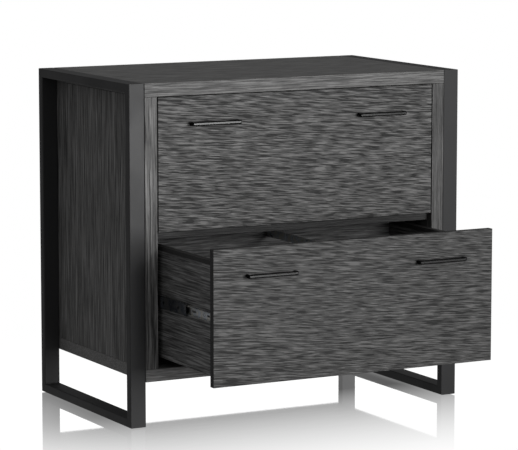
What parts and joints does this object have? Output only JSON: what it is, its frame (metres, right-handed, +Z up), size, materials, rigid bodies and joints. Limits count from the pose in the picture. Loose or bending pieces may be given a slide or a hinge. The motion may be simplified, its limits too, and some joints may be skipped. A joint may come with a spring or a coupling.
{
  "type": "lateral file cabinet",
  "caption": "Lateral file cabinet: a wood-grain case with wide file drawers on ball-bearing slides, carried between black steel loop frames.",
  "frame": {"origin": "on the floor, under the centre of the box round the cabinet with its lower drawer drawn out 262 mm as stored", "axes": "+X towards the cabinet's right as seen from its front, +Y towards its rear, +Z up; the drawers open towards -Y"},
  "size_m": [0.84, 0.765, 0.762],
  "materials": {
    "case_laminate": "satin charcoal wood-grain laminate",
    "drawer_laminate": "satin dark wood-grain laminate",
    "black_board": "matte black-faced fibreboard",
    "frame_steel": "satin black powder coat",
    "pull_steel": "satin black powder coat",
    "slide_steel": "zinc plated",
    "rail_steel": "zinc plated",
    "bolt_steel": "zinc plated",
    "black_plastic": "matte black"
  },
  "bodies": {
    "case": {"top_panel": "case_laminate", "left_side_panel": "case_laminate", "right_side_panel": "case_laminate", "bottom_panel": "case_laminate", "mid_rail": "case_laminate", "back_panel": "black_board", "left_front_upright": "frame_steel", "left_rear_upright": "frame_steel", "left_top_rail": "frame_steel", "left_foot_rail": "frame_steel", "right_front_upright": "frame_steel", "right_rear_upright": "frame_steel", "right_top_rail": "frame_steel", "right_foot_rail": "frame_steel", "left_front_glide": "black_plastic", "left_rear_glide": "black_plastic", "right_front_glide": "black_plastic", "right_rear_glide": "black_plastic", "left_front_lower_bolt": "bolt_steel", "left_front_upper_bolt": "bolt_steel", "left_rear_lower_bolt": "bolt_steel", "left_rear_upper_bolt": "bolt_steel", "right_front_lower_bolt": "bolt_steel", "right_front_upper_bolt": "bolt_steel", "right_rear_lower_bolt": "bolt_steel", "right_rear_upper_bolt": "bolt_steel", "lower_drawer_left_slide_outer": "slide_steel", "lower_drawer_right_slide_outer": "slide_steel", "upper_drawer_left_slide_outer": "slide_steel", "upper_drawer_right_slide_outer": "slide_steel"},
    "lower_drawer": {"lower_drawer_front": "case_laminate", "lower_drawer_left_box_side": "drawer_laminate", "lower_drawer_right_box_side": "drawer_laminate", "lower_drawer_box_back": "drawer_laminate", "lower_drawer_box_floor": "black_board", "lower_drawer_left_pull": "pull_steel", "lower_drawer_right_pull": "pull_steel", "lower_drawer_left_file_cap": "black_plastic", "lower_drawer_right_file_cap": "black_plastic", "lower_drawer_file_bar_bracket": "rail_steel", "lower_drawer_middle_file_bar": "rail_steel", "lower_drawer_left_slide_inner": "slide_steel", "lower_drawer_right_slide_inner": "slide_steel"},
    "upper_drawer": {"upper_drawer_front": "case_laminate", "upper_drawer_left_box_side": "drawer_laminate", "upper_drawer_right_box_side": "drawer_laminate", "upper_drawer_box_back": "drawer_laminate", "upper_drawer_box_floor": "black_board", "upper_drawer_left_pull": "pull_steel", "upper_drawer_right_pull": "pull_steel", "upper_drawer_left_file_cap": "black_plastic", "upper_drawer_right_file_cap": "black_plastic", "upper_drawer_file_bar_bracket": "rail_steel", "upper_drawer_middle_file_bar": "rail_steel", "upper_drawer_left_slide_inner": "slide_steel", "upper_drawer_right_slide_inner": "slide_steel"},
    "lower_drawer_left_slide_middle_member": {"lower_drawer_left_slide_middle": "slide_steel"},
    "lower_drawer_right_slide_middle_member": {"lower_drawer_right_slide_middle": "slide_steel"},
    "upper_drawer_left_slide_middle_member": {"upper_drawer_left_slide_middle": "slide_steel"},
    "upper_drawer_right_slide_middle_member": {"upper_drawer_right_slide_middle": "slide_steel"}
  },
  "joints": [
    {"name": "lower_drawer_travel", "type": "slide", "parent": "case", "child": "lower_drawer", "axis": [0, -1, 0], "range_m": [-0.262, 0.118]},
    {"name": "lower_drawer_left_slide_travel", "type": "slide", "parent": "case", "child": "lower_drawer_left_slide_middle_member", "axis": [0, -1, 0], "range_m": [-0.14672, 0.06608]},
    {"name": "lower_drawer_right_slide_travel", "type": "slide", "parent": "case", "child": "lower_drawer_right_slide_middle_member", "axis": [0, -1, 0], "range_m": [-0.14672, 0.06608]},
    {"name": "upper_drawer_travel", "type": "slide", "parent": "case", "child": "upper_drawer", "axis": [0, -1, 0], "range_m": [0, 0.38]},
    {"name": "upper_drawer_left_slide_travel", "type": "slide", "parent": "case", "child": "upper_drawer_left_slide_middle_member", "axis": [0, -1, 0], "range_m": [0, 0.2128]},
    {"name": "upper_drawer_right_slide_travel", "type": "slide", "parent": "case", "child": "upper_drawer_right_slide_middle_member", "axis": [0, -1, 0], "range_m": [0, 0.2128]}
  ],
  "couplings": [
    {"joint": "lower_drawer_left_slide_travel", "follows": "lower_drawer_travel", "ratio": 0.56},
    {"joint": "lower_drawer_right_slide_travel", "follows": "lower_drawer_travel", "ratio": 0.56},
    {"joint": "upper_drawer_left_slide_travel", "follows": "upper_drawer_travel", "ratio": 0.56},
    {"joint": "upper_drawer_right_slide_travel", "follows": "upper_drawer_travel", "ratio": 0.56}
  ]
}
